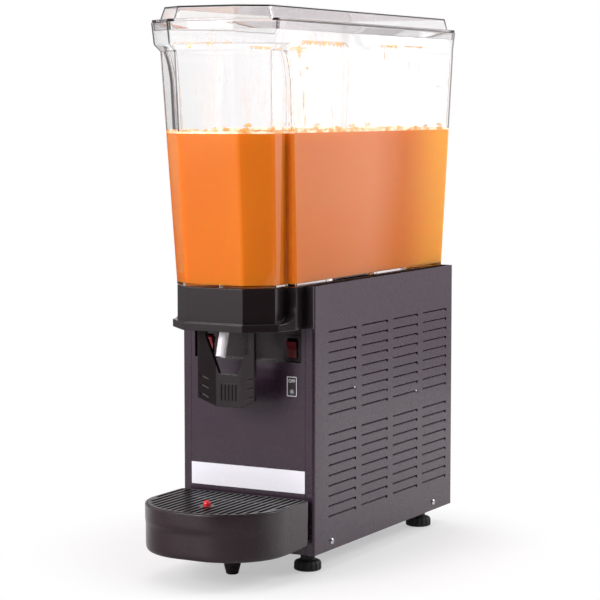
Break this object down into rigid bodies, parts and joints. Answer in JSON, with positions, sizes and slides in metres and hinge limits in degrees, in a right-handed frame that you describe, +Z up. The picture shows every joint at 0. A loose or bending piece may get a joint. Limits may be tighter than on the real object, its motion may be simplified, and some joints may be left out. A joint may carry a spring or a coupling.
{
  "type": "drink dispenser",
  "caption": "Refrigerated counter juice dispenser: a clear tapered bowl with a nose and lid on a louvred cabinet, with a cup-push pinch tap, rocker switches and a drip tray.",
  "frame": {"origin": "on the counter, under the middle of the overall box", "axes": "+Z up, -Y towards the person filling a cup, +X to that person's right"},
  "size_m": [0.189, 0.5678, 0.6845],
  "materials": {
    "galvanised": "dull zinc",
    "foot_rubber": "matt",
    "screw_steel": "bright zinc",
    "cabinet_paint": "satin charcoal",
    "black_moulding": "fine satin",
    "black_gloss": "polished",
    "plate_white": "smooth",
    "switch_red": "polished",
    "clear_bowl": "clear polished",
    "orange_juice": "opaque liquid",
    "white_silicone": "smooth",
    "seal_rubber": "smooth",
    "stainless": "polished",
    "copper": "drawn tube",
    "white_moulding": "satin",
    "motor_steel": "plain",
    "machine_black": "gloss",
    "fin_aluminium": "mill"
  },
  "bodies": {
    "cabinet": {"base_pan": "galvanised", "motor_bracket": "galvanised", "fan_shroud": "galvanised", "tray_tongues": "galvanised", "feet": "foot_rubber", "compressor_grommets": "foot_rubber", "foot_screws": "screw_steel", "side_panel_screws": "screw_steel", "rear_panel_screws": "screw_steel", "tap_bracket_screws": "screw_steel", "compressor_bolts": "screw_steel", "tap_pin": "screw_steel", "lever_spring": "screw_steel", "left_side_panel": "cabinet_paint", "right_side_panel": "cabinet_paint", "front_panel": "cabinet_paint", "rear_panel": "cabinet_paint", "switch_recess": "black_moulding", "top_deck": "black_moulding", "tap_bracket": "black_moulding", "cord_gland": "black_moulding", "left_switch": "black_moulding", "right_switch": "black_moulding", "collar": "black_gloss", "name_plate": "plate_white", "switch_label": "plate_white", "pinch_tube": "white_silicone", "bowl_gasket": "seal_rubber", "evaporator": "stainless", "evaporator_coil": "copper", "filter_drier": "copper", "refrigerant_pipes": "copper", "thermostat": "white_moulding", "terminal_block": "white_moulding", "agitator_motor": "motor_steel", "compressor": "machine_black", "fan_motor": "machine_black", "condenser": "fin_aluminium"},
    "bowl": {"bowl": "clear_bowl", "juice": "orange_juice"},
    "lid": {"lid": "clear_bowl"},
    "tray": {"drip_tray": "black_moulding"},
    "grid": {"tray_grid": "black_moulding"},
    "float": {"tray_float": "switch_red"},
    "lever": {"tap_lever": "black_gloss"},
    "left_rocker": {"left_rocker": "switch_red"},
    "right_rocker": {"right_rocker": "switch_red"},
    "fan": {"fan": "fin_aluminium"},
    "rotor": {"drive_rotor": "motor_steel"},
    "impeller": {"impeller": "white_moulding"},
    "knob": {"thermostat_knob": "black_moulding"}
  },
  "joints": [
    {"name": "lever_swing", "type": "hinge", "parent": "cabinet", "child": "lever", "pos_m": [0, -0.1738, 0.325], "axis": [1, 0, 0], "range_deg": [0, 15], "stiffness_Nm_per_rad": 0.8, "springref_deg": -17.19},
    {"name": "left_rocker_tip", "type": "hinge", "parent": "cabinet", "child": "left_rocker", "pos_m": [-0.059, -0.1237, 0.275], "axis": [-1, 0, 0], "range_deg": [0, 18]},
    {"name": "right_rocker_tip", "type": "hinge", "parent": "cabinet", "child": "right_rocker", "pos_m": [0.059, -0.1237, 0.275], "axis": [-1, 0, 0], "range_deg": [0, 18]},
    {"name": "bowl_lift", "type": "slide", "parent": "cabinet", "child": "bowl", "axis": [0, 0, 1], "range_m": [0, 0.12]},
    {"name": "lid_lift", "type": "slide", "parent": "bowl", "child": "lid", "axis": [0, 0, 1], "range_m": [0, 0.06]},
    {"name": "tray_pull", "type": "slide", "parent": "cabinet", "child": "tray", "axis": [0, -1, 0], "range_m": [0, 0.17]},
    {"name": "grid_lift", "type": "slide", "parent": "tray", "child": "grid", "axis": [0, 0, 1], "range_m": [0, 0.05]},
    {"name": "float_rise", "type": "slide", "parent": "tray", "child": "float", "axis": [0, 0, 1], "range_m": [0, 0.008]},
    {"name": "fan_spin", "type": "hinge", "parent": "cabinet", "child": "fan", "pos_m": [0, 0.1737, 0.1035], "axis": [0, 1, 0], "continuous": true},
    {"name": "rotor_spin", "type": "hinge", "parent": "cabinet", "child": "rotor", "pos_m": [0, 0.0491, 0.38], "axis": [0, 0, 1], "continuous": true},
    {"name": "impeller_spin", "type": "hinge", "parent": "cabinet", "child": "impeller", "pos_m": [0, 0.0491, 0.405], "axis": [0, 0, 1], "continuous": true},
    {"name": "knob_turn", "type": "hinge", "parent": "cabinet", "child": "knob", "pos_m": [0.045, 0.2591, 0.292], "axis": [0, 1, 0], "range_deg": [0, 270]}
  ],
  "couplings": [
    {"joint": "impeller_spin", "follows": "rotor_spin", "ratio": 1}
  ]
}
